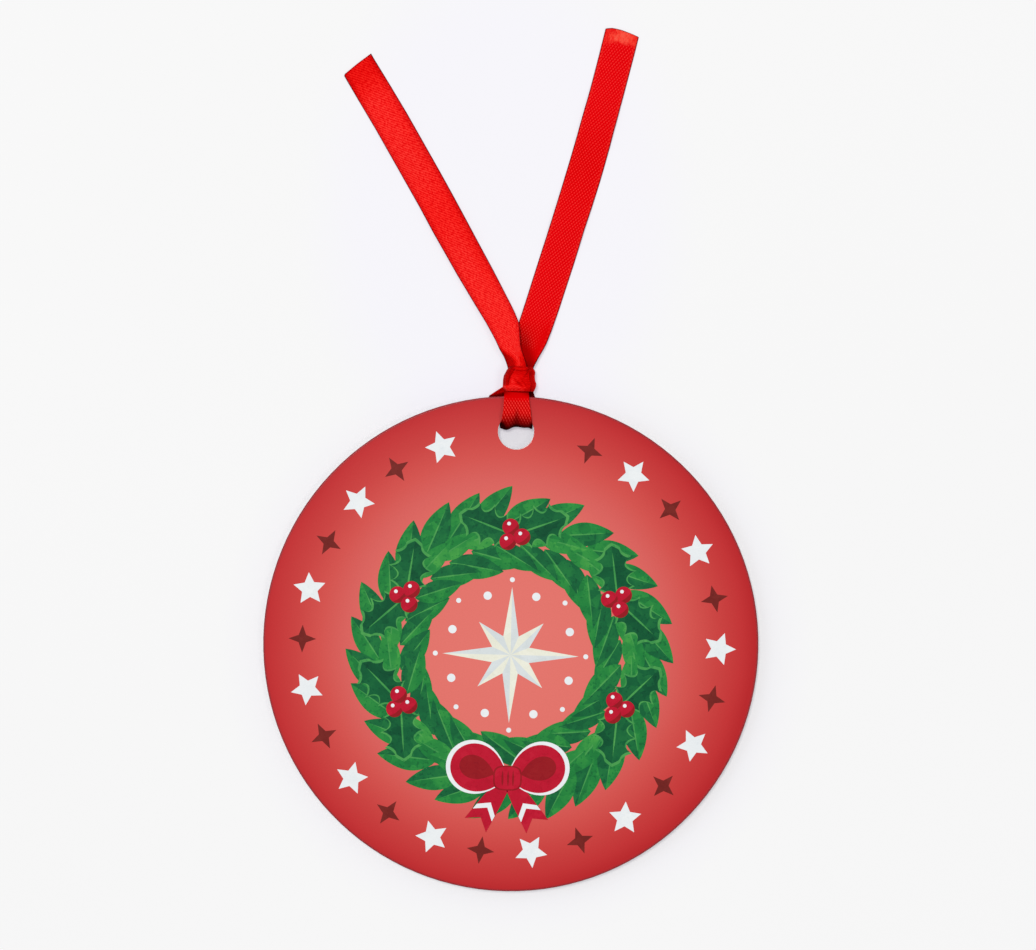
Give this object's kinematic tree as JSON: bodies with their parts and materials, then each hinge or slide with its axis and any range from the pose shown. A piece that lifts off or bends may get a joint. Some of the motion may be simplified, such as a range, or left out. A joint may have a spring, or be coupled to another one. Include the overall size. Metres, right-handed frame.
{
  "type": "round hanging ornament",
  "caption": "Flat round coated-metal ornament with a hanging hole near its rim, a satin ribbon looped through it, knotted, with free tails.",
  "frame": {"origin": "on the surface that the ornament lies on, under the disc's centre", "axes": "+Z out of the decorated face, +Y from the disc's centre to the hanging hole and the ribbon, +X to the right of the decorated face"},
  "size_m": [0.0888, 0.1553, 0.0032],
  "materials": {
    "coated_metal": "gloss white coat with a dye print in a red gradient on the front",
    "ribbon_satin": "satin face",
    "ribbon_reverse": "woven reverse side"
  },
  "bodies": {
    "disc": {"disc": "coated_metal"},
    "ribbon": {"ribbon_loop": "ribbon_reverse", "knot_core": "ribbon_satin", "knot_wrap": "ribbon_satin"},
    "tail_left": {"ribbon_tail_left": "ribbon_satin"},
    "tail_right": {"ribbon_tail_right": "ribbon_reverse"}
  },
  "joints": [
    {"name": "ribbon_swing", "type": "hinge", "parent": "disc", "child": "ribbon", "pos_m": [0, 0.0381, 0], "axis": [0, 0, 1], "range_deg": [-14, 14]},
    {"name": "tail_left_swing", "type": "hinge", "parent": "ribbon", "child": "tail_left", "pos_m": [-0.00017, 0.05155, 0], "axis": [0, 0, 1], "range_deg": [-10, 40]},
    {"name": "tail_right_swing", "type": "hinge", "parent": "ribbon", "child": "tail_right", "pos_m": [0.00103, 0.05155, 0], "axis": [0, 0, 1], "range_deg": [-50, 10]}
  ]
}
